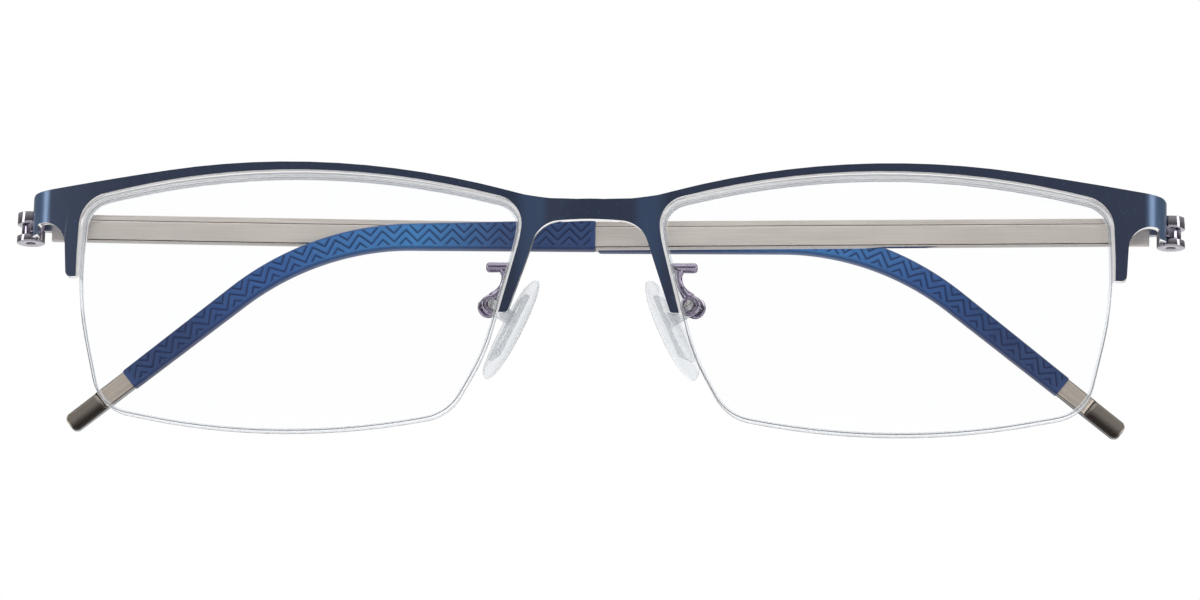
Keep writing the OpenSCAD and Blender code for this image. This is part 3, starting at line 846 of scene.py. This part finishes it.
def pad_mount(side):
    foot = [(-9.28, 0.12), (-9.3, 0.34), (-9.38, 0.5), (-9.55, 0.6), (-9.9, 0.62), (-11, 0.6),
            (-12.1, 0.62), (-12.45, 0.6), (-12.62, 0.5), (-12.7, 0.34), (-12.72, 0.12)]
    stem = [(-10.6, 3.95, 20.75, 0.5), (-10.5, 4.0, 20.3, 0.6), (-10.42, 4.12, 19.7, 0.46),
            (-10.55, 4.3, 19.0, 0.42), (-10.82, 4.45, 18.35, 0.45), (-11.25, 4.5, 17.75, 0.56),
            (-11.7, 4.53, 17.25, 0.74), (-12.0, 4.5, 16.8, 0.7)]
    foot_y, foot_z = stem[0][1:3]
    verts, faces = joined([
        mount_rod(side, [(x, foot_y, foot_z, r) for x, r in foot]),
        mount_rod(side, through(stem)),
        cup_cheek(side, 1),
        cup_cheek(side, -1),
        cup_wall(side),
    ])
    mount = mesh_piece("pad_mount_" + side, verts, faces, GUNMETAL, "front", sharp=50)
    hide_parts("pad_arm_" + side)


for name in SIDES:
    pad_mount(name)

# ------------------------------------------------------------------------------------------------
# Studio
# ------------------------------------------------------------------------------------------------


def add_floor():
    mesh = bpy.data.meshes.new("floor")
    w, z = 3.0, row(0, 0, FLOOR_Z).z
    mesh.from_pydata([(-w, -w, z), (w, -w, z), (w, w, z), (-w, w, z)], [], [(0, 1, 2, 3)])
    mesh.materials.append(floor_material())
    floor = bpy.data.objects.new("floor", mesh)
    bpy.context.scene.collection.objects.link(floor)


def add_world():
    """A white backdrop, and soft light that comes mostly from above."""
    world = bpy.data.worlds.new("studio")
    bpy.context.scene.world = world
    world.use_nodes = True
    t = world.node_tree
    t.nodes.clear()
    out = t.nodes.new("ShaderNodeOutputWorld")
    mix = t.nodes.new("ShaderNodeMixShader")
    seen = t.nodes.new("ShaderNodeBackground")
    seen.inputs["Color"].default_value = (1, 1, 1, 1)
    seen.inputs["Strength"].default_value = 1.0
    light = t.nodes.new("ShaderNodeBackground")
    light.inputs["Strength"].default_value = 0.6
    path = t.nodes.new("ShaderNodeLightPath")
    co = t.nodes.new("ShaderNodeTexCoord")
    sep = t.nodes.new("ShaderNodeSeparateXYZ")
    up = t.nodes.new("ShaderNodeMapRange")
    up.inputs["From Min"].default_value = -1
    up.inputs["From Max"].default_value = 1
    ramp = t.nodes.new("ShaderNodeValToRGB")
    stops = [(0.0, 0.25), (0.42, 0.2), (0.5, 0.1), (0.6, 0.35), (0.72, 0.9), (1.0, 1.4)]
    e = ramp.color_ramp.elements
    while len(e) < len(stops):
        e.new(0.5)
    for el, (pos, v) in zip(e, stops):
        el.position = pos
        el.color = (v, v, v * 1.01, 1)
    for a, b in (
        (co.outputs["Generated"], sep.inputs[0]),
        (sep.outputs["Z"], up.inputs["Value"]),
        (up.outputs["Result"], ramp.inputs["Fac"]),
        (ramp.outputs["Color"], light.inputs["Color"]),
        (path.outputs["Is Camera Ray"], mix.inputs[0]),
        (light.outputs[0], mix.inputs[1]),
        (seen.outputs[0], mix.inputs[2]),
        (mix.outputs[0], out.inputs["Surface"]),
    ):
        t.links.new(a, b)


def add_softboxes():
    """Places and sizes in metres, power in watts. Each one faces the glasses."""
    for name, where, size, power in (
        ("softbox_top", (0.0, -0.15, 0.75), (0.9, 0.9), 3.4),
        ("softbox_left", (-0.80, -0.36, 0.2), (0.3, 0.6), 2.4),
        ("softbox_right", (0.80, -0.36, 0.2), (0.3, 0.6), 2.2),
        ("softbox_back", (0.1, 0.9, 0.5), (0.9, 0.5), 2.0),
    ):
        data = bpy.data.lights.new(name, "AREA")
        data.shape, data.size, data.size_y, data.energy = "RECTANGLE", *size, power
        lamp = bpy.data.objects.new(name, data)
        lamp.location = where
        lamp.rotation_euler = (-Vector(where)).to_track_quat("-Z", "Y").to_euler()
        bpy.context.scene.collection.objects.link(lamp)


def add_camera():
    """The photograph's camera: a little to one side, below the glasses and looking up at them."""
    side, lift, roll = math.radians(4.15), math.radians(12.85), math.radians(1.21)
    away, aim, right_by, up_by = 600, row(0, 0, 15.93), 1.345, -0.036
    level = Vector((math.cos(side), math.sin(side), 0))
    upward = Vector((math.sin(side) * math.sin(lift), -math.cos(side) * math.sin(lift), math.cos(lift)))
    forward = Vector((-math.sin(side) * math.cos(lift), math.cos(side) * math.cos(lift), math.sin(lift)))
    cam_x = level * math.cos(roll) + upward * math.sin(roll)
    cam_y = upward * math.cos(roll) - level * math.sin(roll)
    at = aim + (right_by * cam_x + up_by * cam_y - away * forward) * MM
    data = bpy.data.cameras.new("camera")
    data.lens, data.sensor_width = 151.2, 36.0
    data.clip_start, data.clip_end = 0.01, 20
    cam = bpy.data.objects.new("camera", data)
    cam.matrix_world = Matrix.Translation(at) @ Matrix((cam_x, cam_y, -forward)).transposed().to_4x4()
    bpy.context.scene.collection.objects.link(cam)
    bpy.context.scene.camera = cam


add_floor()
add_world()
add_softboxes()
add_camera()
bpy.context.scene.view_settings.view_transform = "Standard"
bpy.context.scene.view_settings.look = "None"
